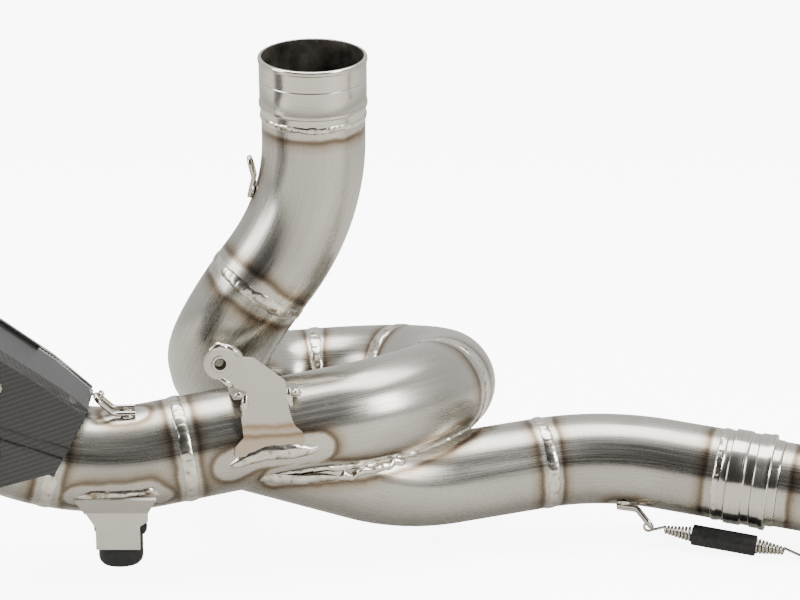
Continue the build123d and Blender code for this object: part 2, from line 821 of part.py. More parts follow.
# The buffer stands upright, with a flat front bonded to the plate and a bore for the pin
buffer_blank = turned(
    Vector(STOP_MIDDLE[0], STOP_MIDDLE[1], STOP_RUBBER_LOW),
    Vector(0, 0, 1),
    [
        (0, 0),
        (STOP_RUBBER_R - 5, 0),
        (STOP_RUBBER_R - 2.2, 0.9),
        (STOP_RUBBER_R - 0.6, 2.7),
        (STOP_RUBBER_R, 5),
        (STOP_RUBBER_R, STOP_RUBBER_HIGH - STOP_RUBBER_LOW),
        (0, STOP_RUBBER_HIGH - STOP_RUBBER_LOW),
    ],
)
PIN_END = Plane(
    origin=(STOP_MIDDLE[0] - STOP_PIN_HALF, STOP_MIDDLE[1], STOP_PIN_AT),
    x_dir=(0, 1, 0),
    z_dir=(1, 0, 0),
)
with BuildPart() as stop_rubber:
    add(buffer_blank.part)
    with BuildSketch(FACE.offset(-0.05)):
        with Locations((STOP_MIDDLE[0], (STOP_RUBBER_LOW + STOP_RUBBER_HIGH) / 2)):
            Rectangle(40, 40)
    extrude(amount=10, mode=Mode.SUBTRACT)
    with BuildSketch(PIN_END):
        Circle(STOP_PIN_R + SLIP_CLEARANCE)
    extrude(amount=2 * STOP_PIN_HALF, mode=Mode.SUBTRACT)
keep(stop_rubber, "stop_rubber")
stop_pin = turned(
    Vector(STOP_MIDDLE[0] - STOP_PIN_HALF, STOP_MIDDLE[1], STOP_PIN_AT),
    Vector(1, 0, 0),
    [
        (0, 0),
        (2.6, 0.4),
        (4.4, 1.6),
        (STOP_PIN_R, 3.4),
        (STOP_PIN_R, 2 * STOP_PIN_HALF - 3.4),
        (4.4, 2 * STOP_PIN_HALF - 1.6),
        (2.6, 2 * STOP_PIN_HALF - 0.4),
        (0, 2 * STOP_PIN_HALF),
    ],
)
keep(stop_pin, "stop_pin")
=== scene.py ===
import math
import random

import bpy
import numpy as np
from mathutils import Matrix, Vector


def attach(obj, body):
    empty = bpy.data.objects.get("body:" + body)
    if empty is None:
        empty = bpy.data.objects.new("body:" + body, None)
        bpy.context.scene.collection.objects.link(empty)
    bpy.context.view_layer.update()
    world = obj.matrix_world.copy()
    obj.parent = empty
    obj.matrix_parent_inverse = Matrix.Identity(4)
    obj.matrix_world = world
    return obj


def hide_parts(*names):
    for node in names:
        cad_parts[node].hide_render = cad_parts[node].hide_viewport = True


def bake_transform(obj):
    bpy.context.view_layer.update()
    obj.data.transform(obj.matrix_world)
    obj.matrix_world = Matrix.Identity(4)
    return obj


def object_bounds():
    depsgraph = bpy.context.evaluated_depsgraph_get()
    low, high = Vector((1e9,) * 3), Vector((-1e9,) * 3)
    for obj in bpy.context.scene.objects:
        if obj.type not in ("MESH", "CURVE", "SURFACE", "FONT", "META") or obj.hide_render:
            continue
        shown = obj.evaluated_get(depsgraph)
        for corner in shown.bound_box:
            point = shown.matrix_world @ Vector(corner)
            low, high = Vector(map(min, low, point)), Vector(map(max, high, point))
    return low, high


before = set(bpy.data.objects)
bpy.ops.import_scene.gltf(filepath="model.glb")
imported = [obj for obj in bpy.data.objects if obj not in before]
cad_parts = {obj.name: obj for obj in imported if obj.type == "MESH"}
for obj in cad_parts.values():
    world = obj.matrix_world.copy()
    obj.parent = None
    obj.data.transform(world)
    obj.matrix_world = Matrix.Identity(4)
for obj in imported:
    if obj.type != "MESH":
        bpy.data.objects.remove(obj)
cad_low, cad_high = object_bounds()
MM = 0.001

# --- Rear line -----------------------------------------------------------------------------------
# 60 mm stainless tube with a 1.2 mm wall, bent on a mandrel, cut and butt-welded by hand. Its skin is
# brushed along the tube, and each weld leaves a bright band between two brown lines of heat tint.


def linear(hex_colour):
    """An sRGB hex colour as linear RGBA."""
    parts = [int(hex_colour[i : i + 2], 16) / 255 for i in (1, 3, 5)]
    return tuple(c / 12.92 if c <= 0.04045 else ((c + 0.055) / 1.055) ** 2.4 for c in parts) + (1.0,)


def node(tree, kind, inputs=None, **settings):
    """A shader node with its settings, input values and links."""
    made = tree.nodes.new(kind)
    for key, value in settings.items():
        setattr(made, key, value)
    for key, value in (inputs or {}).items():
        if isinstance(value, bpy.types.NodeSocket):
            tree.links.new(value, made.inputs[key])
        else:
            made.inputs[key].default_value = value
    return made


def ramp(tree, factor, stops):
    """A colour ramp through (position, hex colour or grey level) stops."""
    made = node(tree, "ShaderNodeValToRGB", {0: factor})
    elements = made.color_ramp.elements
    elements.remove(elements[1])
    for index, (place, value) in enumerate(stops):
        element = elements[0] if index == 0 else elements.new(place)
        element.position = place
        element.color = linear(value) if isinstance(value, str) else (value, value, value, 1)
    return made.outputs["Color"]


def new_material(name, **shader_inputs):
    """A material with one principled shader: (material, its node tree, the shader)."""
    made = bpy.data.materials.new(name)
    made.use_nodes = True
    tree = made.node_tree
    tree.nodes.clear()
    values = {key.replace("_", " "): value for key, value in shader_inputs.items()}
    shader = node(tree, "ShaderNodeBsdfPrincipled", values)
    node(tree, "ShaderNodeOutputMaterial", {"Surface": shader.outputs[0]})
    return made, tree, shader


def feed(shader, **patterns):
    """Link patterns into a shader's inputs."""
    for name, socket in patterns.items():
        shader.id_data.links.new(socket, shader.inputs[name.replace("_", " ")])


def noise(tree, vector, scale, detail):
    """The grey level of a noise pattern. On coordinates in metres, the scale is cells per metre."""
    settings = {"Vector": vector, "Scale": scale, "Detail": detail}
    return node(tree, "ShaderNodeTexNoise", settings).outputs["Fac"]


def mix(tree, factor, a, b):
    """A blend of two colours."""
    return node(tree, "ShaderNodeMix", {0: factor, 6: a, 7: b}, data_type="RGBA").outputs[2]


def math_node(tree, operation, a, b=0.0):
    """The result of one sum."""
    return node(tree, "ShaderNodeMath", {0: a, 1: b}, operation=operation).outputs[0]


HEAT_REACH = 16 * MM
TINT_WANDER = 3.2 * MM


def tinted_steel(name, base, deep, grain_roughness):
    """Steel tube brushed lengthwise and tinted by the distance to the nearest weld, in the 'heat' layer."""
    made, tree, shader = new_material(name, Metallic=1.0)
    uv = node(tree, "ShaderNodeUVMap", uv_map="along").outputs[0]
    place = node(tree, "ShaderNodeTexCoord").outputs["Object"]
    heat_uv = node(tree, "ShaderNodeUVMap", uv_map="heat").outputs[0]
    heat = node(tree, "ShaderNodeSeparateXYZ", {0: heat_uv}).outputs["X"]
    wander = noise(tree, place, 90.0, 3.0)
    shift = math_node(tree, "MULTIPLY", math_node(tree, "SUBTRACT", wander, 0.5), TINT_WANDER)
    share = math_node(tree, "DIVIDE", math_node(tree, "ADD", heat, shift), HEAT_REACH)
    band = ramp(
        tree,
        share,
        [
            (0.0, "#cbc7bd"),
            (0.34, "#c6c1b6"),
            (0.41, "#8d7d69"),
            (0.49, "#5c4e40"),
            (0.57, "#7f705f"),
            (0.70, "#a49a8b"),
            (0.98, base),
        ],
    )
    stretched = node(tree, "ShaderNodeMapping", {"Vector": uv, "Scale": (900.0, 14.0, 1.0)}).outputs[0]
    grain = noise(tree, stretched, 1.0, 4.0)
    cloud = noise(tree, place, 14.0, 2.0)
    slanted = node(
        tree,
        "ShaderNodeMapping",
        {"Vector": uv, "Scale": (180.0, 60.0, 1.0), "Rotation": (0, 0, 0.5)},
    ).outputs[0]
    scratched = ramp(tree, noise(tree, slanted, 1.0, 6.0), [(0.0, 0.0), (0.70, 0.0), (0.74, 1.0)])
    dulled = mix(tree, ramp(tree, cloud, [(0.40, 0.0), (0.75, 0.35)]), band, linear(deep))
    brushed = mix(tree, math_node(tree, "MULTIPLY", grain, 0.30), dulled, linear(deep))
    feed(shader, Base_Color=brushed)
    rough = ramp(tree, grain, [(0.3, grain_roughness - 0.05), (0.7, grain_roughness + 0.09)])
    rougher = math_node(tree, "ADD", rough, math_node(tree, "MULTIPLY", scratched, 0.12))
    feed(shader, Roughness=rougher)
    bump = node(tree, "ShaderNodeBump", {"Height": grain, "Strength": 0.12, "Distance": 0.2 * MM})
    feed(shader, Normal=bump.outputs[0])
    shader.inputs["Anisotropic"].default_value = 0.35
    return made


tube_steel = tinted_steel("stainless_tube_satin_brushed", "#bbb8af", "#77736b", 0.25)


class Line:
    """A tube's centreline: points through rounded corners, with a frame that doesn't twist."""

    def __init__(self, corners, bends):
        points = [np.array(corners[0], float)]
        corners = [np.array(c, float) for c in corners]
        for before, corner, after, bend in zip(corners, corners[1:], corners[2:], bends):
            back = (before - corner) / np.linalg.norm(before - corner)
            ahead = (after - corner) / np.linalg.norm(after - corner)
            half = math.acos(float(np.clip(back @ ahead, -1, 1))) / 2
            reach = bend / math.tan(half)
            middle = (back + ahead) / np.linalg.norm(back + ahead)
            centre = corner + middle * bend / math.sin(half)
            first = corner + back * reach - centre
            square = -back * bend
            turn = math.pi - 2 * half
            for step in np.linspace(0, turn, max(8, int(turn * bend / 1.5))):
                points.append(centre + first * math.cos(step) + square * math.sin(step))
        points.append(corners[-1])
        points = np.array(points)
        gaps = np.linalg.norm(np.diff(points, axis=0), axis=1)
        points = points[np.concatenate([[True], gaps > 1e-6])]
        at = np.concatenate([[0], np.cumsum(np.linalg.norm(np.diff(points, axis=0), axis=1))])
        self.at = np.linspace(0, at[-1], int(at[-1]) + 1)
        points = np.stack([np.interp(self.at, at, points[:, k]) for k in range(3)], axis=1)
        self.points = points
        self.length = self.at[-1]
        ways = np.gradient(points, self.at, axis=0)
        self.ways = ways / np.linalg.norm(ways, axis=1)[:, None]
        out = np.cross(self.ways[0], (0.3, 1.0, 0.2))
        outs = []
        for way in self.ways:
            out = out - way * (out @ way)
            out = out / np.linalg.norm(out)
            outs.append(out)
        self.outs = np.array(outs)

    def sample(self, along):
        """(point, direction, side, other side) at a length along the line, in mm."""
        place = np.array([np.interp(along, self.at, self.points[:, k]) for k in range(3)])
        way = np.array([np.interp(along, self.at, self.ways[:, k]) for k in range(3)])
        way = way / np.linalg.norm(way)
        out = np.array([np.interp(along, self.at, self.outs[:, k]) for k in range(3)])
        out = out - way * (out @ way)
        out = out / np.linalg.norm(out)
        return place, way, out, np.cross(way, out)


def add_object(name, vertices, faces, body, materials, uv=None, heat=None, face_slots=None):
    """A mesh from vertices in millimetres, riding on a CAD body."""
    mesh = bpy.data.meshes.new(name)
    mesh.from_pydata([tuple(v) for v in np.asarray(vertices, float) * MM], [], [tuple(f) for f in faces])
    index = np.zeros(len(mesh.loops), np.int32)
    mesh.loops.foreach_get("vertex_index", index)
    for layer_name, pairs in (("along", uv), ("heat", heat)):
        if pairs is not None:
            layer = mesh.uv_layers.new(name=layer_name)
            layer.data.foreach_set("uv", (np.asarray(pairs, float)[index] * MM).astype(np.float32).ravel())
    for material in materials if isinstance(materials, list) else [materials]:
        mesh.materials.append(material)
    if face_slots is not None:
        mesh.polygons.foreach_set("material_index", np.asarray(face_slots, np.int32))
    mesh.polygons.foreach_set("use_smooth", [True] * len(mesh.polygons))
    made = bpy.data.objects.new(name, mesh)
    bpy.context.scene.collection.objects.link(made)
    if body:
        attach(made, body)
    return made


def grid_faces(rows, columns, closed=True):
    """Quads of a grid of rows, each a ring of columns."""
    last = columns if closed else columns - 1
    faces = []
    for i in range(rows - 1):
        for j in range(last):
            k = (j + 1) % columns
            faces.append((i * columns + j, i * columns + k, (i + 1) * columns + k, (i + 1) * columns + j))
    return faces


def sharpen(made, angle_deg=35):
    """Keep edges sharper than an angle crisp under smooth shading."""
    bpy.context.view_layer.objects.active = made
    for other in bpy.context.selected_objects:
        other.select_set(False)
    made.select_set(True)
    bpy.ops.object.shade_smooth_by_angle(angle=math.radians(angle_deg))


rear_line = Line(
    [
        (0, 0, 0),
        (0, 20, -92),
        (-59, 12, -170),
        (-66, 141, -227),
        (74, 160, -219),
        (81, -5, -198),
        (-139, -51, -231),
        (-226.99, -58.0, -184.0),
    ],
    [118, 68, 60, 77, 82, 150],
)
front_line = Line([(-45, -31, -218), (52, 5, -256), (171, 30, -243), (269.89, 4.13, -253.92)], [120, 150])
REAR_R = 30.0
FRONT_R = 27.0
WALL = 1.2
RING = 96
ROW_STEP = 1.8
FAR_FROM_WELDS = 60.0
POOL_HALF = 3.0


def along_many(line, places):
    """Points, directions, sides and other sides at many lengths along a line."""
    frames = [line.sample(s) for s in places]
    return [np.array([f[k] for f in frames]) for k in range(4)]


def square_to(way, towards):
    """The unit direction nearest to `towards` that is square to `way`."""
    way, towards = np.array(way, float), np.array(towards, float)
    out = towards - way * (towards @ way) / (way @ way)
    return out / np.linalg.norm(out)


def ring_points(line, along, radius, count):
    """Points round a tube and the directions out of it, at one length along its line."""
    place, _, out, side = line.sample(along)
    turns = np.linspace(0, 2 * math.pi, count, endpoint=False)
    outs = np.cos(turns)[:, None] * out + np.sin(turns)[:, None] * side
    return place + outs * radius, outs


def line_distance(points, line):
    """Distance from each point to a line's nearest point."""
    nearest = np.full(len(points), 1e9)
    for chunk in np.array_split(line.points, max(1, len(line.points) // 40)):
        gap = np.linalg.norm(points[:, None, :] - chunk[None], axis=2).min(axis=1)
        nearest = np.minimum(nearest, gap)
    return nearest


def saddle_curve(inner_line, radius, outer_line, outer_radius, count=150):
    """Where the skin of one tube comes out of the side of another, as points in order round the first."""
    found = []
    for turn in np.linspace(0, 2 * math.pi, count, endpoint=False):
        places = np.arange(20.0, 190.0, 1.0)
        spots, _, outs, sides = along_many(inner_line, places)
        skin = spots + (outs * math.cos(turn) + sides * math.sin(turn)) * radius
        far = line_distance(skin, outer_line) > outer_radius
        if far.any() and not far.all():
            last_inside = np.nonzero(~far)[0][-1]
            found.append(skin[min(last_inside + 1, len(skin) - 1)])
    return np.array(found)


front_saddle = saddle_curve(front_line, FRONT_R, rear_line, REAR_R)


def side_spot(line, along, towards, radius):
    """A point on a tube's skin, on the side that faces a direction."""
    place, way, _, _ = line.sample(along)
    return place + square_to(way, towards) * radius


def dense(points):
    """Points about every 1.5 mm along a broken line."""
    points = np.asarray(points, float)
    at = np.concatenate([[0], np.cumsum(np.linalg.norm(np.diff(points, axis=0), axis=1))])
    places = np.linspace(0, at[-1], int(at[-1] / 1.5) + 2)
    return np.stack([np.interp(places, at, points[:, k]) for k in range(3)], axis=1)


STOP_SEAM = [
    (-131.0, -74, -239.4),
    (-123, -73.8, -239),
    (-107, -71, -239.5),
    (-90.6, -68.4, -237.5),
    (-85, -64, -242),
]
# Where brackets and hooks are welded on the side of the tubes: (points, reach of the pool itself)
TOP_SIDE = (0, -0.3, 0.95)
LOW_SIDE = (0, -0.48, -0.88)
BACK_SIDE = (0, 0.9, -0.43)
side_welds = [
    (np.array([side_spot(rear_line, s, (-1, 0, 0), REAR_R) for s in (80, 86, 92)]), 3.0),
    (np.array([side_spot(rear_line, s, TOP_SIDE, REAR_R) for s in (722, 728, 734)]), 5.0),
    (np.array([side_spot(front_line, s, LOW_SIDE, FRONT_R) for s in (242, 248, 254)]), 3.5),
    (dense(STOP_SEAM), 4.0),
]


def tube(name, line, start, end, radius, node_names, welds, body="pipes", near=(), cut=None):
    """A hollow tube between two lengths along a line, whose vertices keep their distance to a weld."""
    places = np.linspace(start, end, max(3, int((end - start) / ROW_STEP) + 1))
    spots, _, outs, sides = along_many(line, places)
    turns = np.linspace(0, 2 * math.pi, RING, endpoint=False)
    skins, uvs = [], []
    for r, order in ((radius, slice(None)), (radius - WALL, slice(None, None, -1))):
        for spot, out, side, s in list(zip(spots, outs, sides, places))[order]:
            skins.append(spot + (np.cos(turns)[:, None] * out + np.sin(turns)[:, None] * side) * r)
            uvs.append(np.stack([r * np.abs(turns - math.pi), np.full(RING, s)], axis=1))
    vertices = np.concatenate(skins)
    uv = np.concatenate(uvs)
    heat = np.full(len(vertices), FAR_FROM_WELDS)
    for weld in welds:
        heat = np.minimum(heat, np.abs(uv[:, 1] - weld))
    for pool, reach in [*side_welds, *near]:
        gap = np.linalg.norm(vertices[:, None, :] - pool[None], axis=2).min(axis=1) - reach
        heat = np.minimum(heat, np.maximum(gap, 0) + POOL_HALF)
    rows = 2 * len(places)
    last = (rows - 1) * RING
    faces = grid_faces(rows, RING)
    faces += [(last + j, last + (j + 1) % RING, (j + 1) % RING, j) for j in range(RING)]
    inside = [len(places) - 1 < f[0] // RING < rows - 1 for f in faces]
    if cut is not None:
        gone = cut(vertices)
        kept = [i for i, f in enumerate(faces) if not gone[list(f)].all()]
        faces = [faces[i] for i in kept]
        inside = [inside[i] for i in kept]
    faces = [f[::-1] for f in faces]
    heat = np.stack([heat, uv[:, 1]], axis=1)
    steels = [tube_steel, sooty_steel]
    made = add_object(name, vertices, faces, body, steels, uv=uv, heat=heat, face_slots=inside)
    sharpen(made, 50)
    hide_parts(*node_names)
    return made


sooty_steel, sooty_tree, sooty_shader = new_material(
    "stainless_bore_soot_stained", Metallic=0.9, Roughness=0.5
)
sooty_place = node(sooty_tree, "ShaderNodeTexCoord").outputs["Object"]
soot = noise(sooty_tree, sooty_place, 60.0, 5.0)
soot_tint = ramp(sooty_tree, soot, [(0.35, "#2f2c28"), (0.6, "#6a655c"), (0.75, "#8d877b")])
feed(sooty_shader, Base_Color=soot_tint)

REAR_WELDS = [34.5, 146, 355, 414, 521, 696, 770]
for piece, start, end in (
    ("rear_upper_bend", 34.5, 146),
    ("rear_lower_bend", 146, 355),
    ("link_tube", 355, 414),
    ("loop_back_bend", 414, 521),
    ("outlet_bend", 696, 770),
    ("outlet_spigot", 770, rear_line.length),
):
    near = [(front_saddle, 3.0)] if piece in ("loop_back_bend", "outlet_bend") else ()
    tube(f"{piece}_skin", rear_line, start, end, REAR_R, [piece], REAR_WELDS, near=near)

# --- Collector legs and front pipe -----------------------------------------------------------------
# The front leg is cut to a fishmouth and opens into the side of the rear leg through a window, so gas
# from both pipes meets inside. The front pipe bends up and over to its slip socket.
BRACKET_AT = np.array((-28.0, -27.6, -214.5))
BRACKET_X = np.array((0.979, 0.203, 0.0)) / math.hypot(0.979, 0.203)
BRACKET_OUT = np.array((0.203, -0.979, 0.0)) / math.hypot(0.203, 0.979)
BRACKET_OFF = 30.4


def on_bracket(x, z, off=BRACKET_OFF):
    """A point on the frame bracket's plate, across it and up it."""
    return BRACKET_AT + BRACKET_X * x + np.array((0, 0, 1.0)) * z + BRACKET_OUT * off


foot_line = dense(
    [(-45.5, -61.4, -226), (-34, -60, -220), (-26, -58.6, -217.6), (-8, -54.6, -217.8), (3.5, -51.4, -218)]
)
collector_heat = [(front_saddle, 4.0), (foot_line, 6.5)]
tube(
    "collector_rear_leg_skin",
    rear_line,
    521,
    696,
    REAR_R,
    ["collector_rear_leg"],
    REAR_WELDS,
    near=collector_heat,
    cut=lambda v: line_distance(v, front_line) < FRONT_R - WALL - 1.5,
)
FRONT_WELD = 195
FRONT_SOCKET_AT = 302.2
tube(
    "collector_front_leg_skin",
    front_line,
    0,
    FRONT_WELD,
    FRONT_R,
    ["collector_front_leg"],
    [FRONT_WELD],
    near=collector_heat,
    cut=lambda v: line_distance(v, rear_line) < REAR_R - 1.0,
)
front_ends = [FRONT_WELD, FRONT_SOCKET_AT]
tube("front_bend_skin", front_line, *front_ends, FRONT_R, ["front_bend"], front_ends)

# --- Butt welds ------------------------------------------------------------------------------------
# Beads laid by hand with filler rod: each dab of metal froze as a half-moon ripple over the last one.
# A bead stands under a millimetre proud of the tube and is brighter than it.
weld_steel, weld_tree, weld_shader = new_material("weld_bead_bright", Metallic=1.0, Roughness=0.16)
weld_place = node(weld_tree, "ShaderNodeTexCoord").outputs["Object"]
weld_noise = noise(weld_tree, weld_place, 220.0, 3.0)
weld_tint = ramp(weld_tree, weld_noise, [(0.3, "#8a7b6b"), (0.45, "#cdc8bc"), (0.75, "#ddd8cd")])
feed(weld_shader, Base_Color=weld_tint)
weld_rough = ramp(weld_tree, weld_noise, [(0.3, 0.30), (0.7, 0.14)])
feed(weld_shader, Roughness=weld_rough)

ACROSS = 11
STEPS = 8


def weld_run(
    name, points, outs, width, height, pitch, seed, closed=False, body="pipes", wander=0.35, sink=0.4
):
    """A run of overlapping weld ripples along points on a surface, whose directions out are given."""
    rng = random.Random(seed)
    points, outs = np.asarray(points, float), np.asarray(outs, float)
    if closed:
        points, outs = np.vstack([points, points[:1]]), np.vstack([outs, outs[:1]])
    at = np.concatenate([[0], np.cumsum(np.linalg.norm(np.diff(points, axis=0), axis=1))])
    count = max(2, int(round(at[-1] / pitch)))
    total = count * STEPS
    limits = ((-wander, wander), (0.85, 1.15), (0.8, 1.12))
    draws = [[rng.uniform(least, most) for least, most in limits] for _ in range(count + 1)]
    vertices = []
    rows = total if closed else total + 1
    for i in range(rows):
        s = at[-1] * i / total
        spot = np.array([np.interp(s, at, points[:, k]) for k in range(3)])
        ahead = np.array([np.interp(min(s + 0.6, at[-1]), at, points[:, k]) for k in range(3)])
        behind = np.array([np.interp(max(s - 0.6, 0), at, points[:, k]) for k in range(3)])
        way = (ahead - behind) / np.linalg.norm(ahead - behind)
        out = square_to(way, [np.interp(s, at, outs[:, k]) for k in range(3)])
        side = np.cross(way, out)
        cell, share = divmod(i / STEPS, 1)
        cell = int(cell)
        after = (cell + 1) % count if closed else min(cell + 1, count)
        ease = share * share * (3 - 2 * share)
        middle, wide, tall = [a + (b - a) * ease for a, b in zip(draws[cell], draws[after])]
        end_fade = 1.0 if closed else min(1.0, (min(i, total - i) / STEPS + 0.15) ** 0.5)
        for k in range(ACROSS):
            t = -1 + 2 * k / (ACROSS - 1)
            ripple = (share + 0.42 * t * t) % 1.0
            rise = height * tall * (1 - t * t) ** 0.6 * (0.80 + 0.20 * ripple**0.7) * end_fade
            vertices.append(spot + side * (middle + t * width * wide * end_fade) + out * (rise - sink))
    faces = grid_faces(rows + (1 if closed else 0), ACROSS, closed=False)
    if closed:
        faces = [tuple(v % (rows * ACROSS) for v in f) for f in faces]
    made = add_object(name, vertices, faces, body, weld_steel)
    return made


for index, along in enumerate(REAR_WELDS[1:]):
    points, outs = ring_points(rear_line, along, REAR_R, 120)
    weld_run(f"rear_line_weld_{index + 1}", points, outs, 3.9, 1.15, 5.2, index, closed=True)
for name, along, width in (("front_leg_weld", FRONT_WELD, 3.6), ("front_socket_weld", 302.4, 2.6)):
    points, outs = ring_points(front_line, along, FRONT_R, 110)
    weld_run(name, points, outs, width, 1.15, 4.8, along, closed=True)


def off_line(points, line):
    """Directions away from a line at points near it."""
    outs = []
    for p in points:
        gap = p - line.points[np.argmin(np.linalg.norm(line.points - p, axis=1))]
        outs.append(gap / np.linalg.norm(gap))
    return np.array(outs)


def weld_on(name, points, line, *sizes, **settings):
    """A run of weld along points on a tube's skin."""
    return weld_run(name, points, off_line(np.array(points), line), *sizes, **settings)


saddle_out = off_line(front_saddle, rear_line) + off_line(front_saddle, front_line)
weld_run(
    "collector_saddle_weld", front_saddle, saddle_out, 3.0, 2.4, 9, 40, closed=True, wander=0.7, sink=0.9
)
pool_line = [
    (-34, -50, -236.5),
    (-23, -48.6, -236.5),
    (-14, -46.2, -238),
    (-5, -43.6, -239),
    (4, -40.8, -239),
    (14, -38, -239.5),
]
weld_on("collector_saddle_pools", pool_line, rear_line, 5.4, 2.9, 16, 41, wander=0.6, sink=1.0)
rough_line = [
    (14, -37.4, -238.6),
    (24.5, -34, -238),
    (31, -30.5, -236.6),
    (38, -26.8, -235),
    (45, -22, -234),
    (53, -16.5, -233),
]
weld_on("collector_saddle_crotch", rough_line, front_line, 3.2, 2.8, 4, 42, wander=1.1, sink=0.8)

# --- Turned slip sockets -----------------------------------------------------------------------------
# Sockets and collars are turned from solid bar, with fine tool lines running round them. The rear
# socket has a rolled lip, the front one a groove and an end lip.
turned_steel, turned_tree, turned_shader = new_material(
    "stainless_turned_bright", Metallic=1.0, Anisotropic=0.5
)
turned_uv = node(turned_tree, "ShaderNodeUVMap", uv_map="along").outputs[0]
tool_pitch = {"Vector": turned_uv, "Scale": (6.0, 1500.0, 1.0)}
tool_way = node(turned_tree, "ShaderNodeMapping", tool_pitch).outputs[0]
tool_lines = noise(turned_tree, tool_way, 1.0, 3.0)
feed(turned_shader, Base_Color=ramp(turned_tree, tool_lines, [(0.3, "#b5b0a6"), (0.7, "#d5d1c8")]))
feed(turned_shader, Roughness=ramp(turned_tree, tool_lines, [(0.3, 0.13), (0.7, 0.22)]))


def turned(name, origin, way, profile, materials, body, node_names, bore_rows=(), ring=RING):
    """A ring turned from a closed (radius, length) profile, whose bore_rows take the second material."""
    origin, way = np.array(origin, float), np.array(way, float)
    out = square_to(way, (0.3, 1.0, 0.2))
    side = np.cross(way, out)
    turns = np.linspace(0, 2 * math.pi, ring, endpoint=False)
    round_way = np.cos(turns)[:, None] * out + np.sin(turns)[:, None] * side
    vertices = np.concatenate([origin + way * along + round_way * radius for radius, along in profile])
    half_turns = np.abs(turns - math.pi)
    uv = np.concatenate([np.stack([r * half_turns, np.full(ring, a + r)], axis=1) for r, a in profile])
    rows = len(profile)
    faces, slots = [], []
    for i in range(rows):
        k = (i + 1) % rows
        for j in range(ring):
            n = (j + 1) % ring
            faces.append((i * ring + j, k * ring + j, k * ring + n, i * ring + n))
            slots.append(1 if i in bore_rows else 0)
    made = add_object(name, vertices, faces, body, materials, uv=uv, face_slots=slots)
    sharpen(made, 28)
    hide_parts(*node_names)
    return made


socket_way = rear_line.sample(0)[1]
turned(
    "rear_socket_turned",
    (0, 0, 0),
    socket_way,
    [
        (29.4, 0.1),
        (29.7, -0.0),
        (30.6, 0.0),
        (31.1, 0.3),
        (31.4, 0.9),
        (31.4, 2.4),
        (30.9, 3.1),
        (30.9, 12.4),
        (30.6, 12.8),
        (30.9, 13.2),
        (30.9, 26.0),
        (31.3, 26.8),
        (31.3, 28.6),
        (30.7, 29.4),
        (30.3, 33.0),
        (30.3, 34.4),
        (28.8, 34.4),
        (28.8, 30.0),
        (29.4, 30.0),
    ],
    [turned_steel, sooty_steel],
    "pipes",
    ["rear_socket"],
    bore_rows=(16, 17, 18),
)
points, outs = ring_points(rear_line, 35.0, REAR_R, 120)
weld_run("rear_socket_weld", points, outs, 2.4, 1.35, 4.2, 31, closed=True)

FRONT_LAST = np.array((171.0, 30.0, -243.0))
FRONT_WAY = np.array((172.0, -45.0, -19.0)) / np.linalg.norm((172.0, -45.0, -19.0))
turned(
    "front_socket_turned",
    FRONT_LAST + FRONT_WAY * 72.5,
    FRONT_WAY,
    [
        (25.8, 0),
        (27.6, 0),
        (27.7, 2.0),
        (27.2, 3.0),
        (27.2, 5.5),
        (28.1, 6.0),
        (28.3, 6.3),
        (28.3, 15.2),
        (28.1, 15.6),
        (27.6, 16.2),
        (27.6, 20.8),
        (28.1, 21.3),
        (28.3, 21.7),
        (28.3, 26.4),
        (28.8, 27.4),
        (28.8, 29.6),
        (28.5, 30.1),
        (28.1, 30.3),
        (26.5, 30.3),
        (25.98, 29.5),
        (25.98, 4.5),
        (25.8, 4.5),
    ],
    [turned_steel, sooty_steel],
    "pipes",
    ["front_socket"],
    bore_rows=(19, 20, 21),
)
for node_name in ("inlet_socket", "bracket_insert"):
    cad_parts[node_name].data.materials.clear()
    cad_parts[node_name].data.materials.append(turned_steel)

# --- Header pipe and port flange -----------------------------------------------------------------------
# 51 mm tube that slides in the front socket on a turned collar and rises to the front cylinder. A flared
# end sits on a copper crush ring, and a loose two-stud flange pulls it to the port.
HEADER_TOP = FRONT_LAST + FRONT_WAY * 225.0 + np.array((40.0, 8.0, 155.0))
header_line = Line([FRONT_LAST + FRONT_WAY * 108.0, FRONT_LAST + FRONT_WAY * 225.0, HEADER_TOP], [75])
HEADER_R = 25.4
tube(
    "header_pipe_skin", header_line, 0.3, header_line.length, HEADER_R, ["header_pipe"], [0], body="header"
)
turned(
    "header_collar_turned",
    FRONT_LAST + FRONT_WAY * 78.0,
    FRONT_WAY,
    [(24.2, 0), (25.3, 0), (25.8, 0.5), (25.92, 1.2), (25.92, 28.5), (25.4, 30), (24.2, 30)],
    [turned_steel, sooty_steel],
    "header",
    ["header_collar"],
    bore_rows=(6,),
)


GRAIN_SPREAD = 0.06


def simple_metal(name, colour, roughness, scale=300.0):
    """A metal with a fine even grain from object coordinates."""
    made, tree, shader = new_material(name, Metallic=1.0)
    place = node(tree, "ShaderNodeTexCoord").outputs["Object"]
    grain = noise(tree, place, scale, 4.0)
    limits = [(0.3, roughness - GRAIN_SPREAD), (0.7, roughness + GRAIN_SPREAD)]
    feed(shader, Roughness=ramp(tree, grain, limits))
    shader.inputs["Base Color"].default_value = linear(colour)
    rise = node(tree, "ShaderNodeBump", {"Height": grain, "Strength": 0.05, "Distance": 0.2 * MM})
    feed(shader, Normal=rise.outputs[0])
    return made


def dress(node_names, material, bevel=0.0, segments=2):
    """Give CAD nodes a finish, with eased edges where the real piece has them."""
    for node_name in node_names:
        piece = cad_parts[node_name]
        piece.data.materials.clear()
        piece.data.materials.append(material)
        if bevel:
            weld = piece.modifiers.new("join", "WELD")
            weld.merge_threshold = 0.01 * MM
            ease = piece.modifiers.new("ease", "BEVEL")
            ease.width = bevel * MM
            ease.segments = segments
            ease.limit_method = "ANGLE"
            ease.angle_limit = math.radians(32)
            ease.harden_normals = False


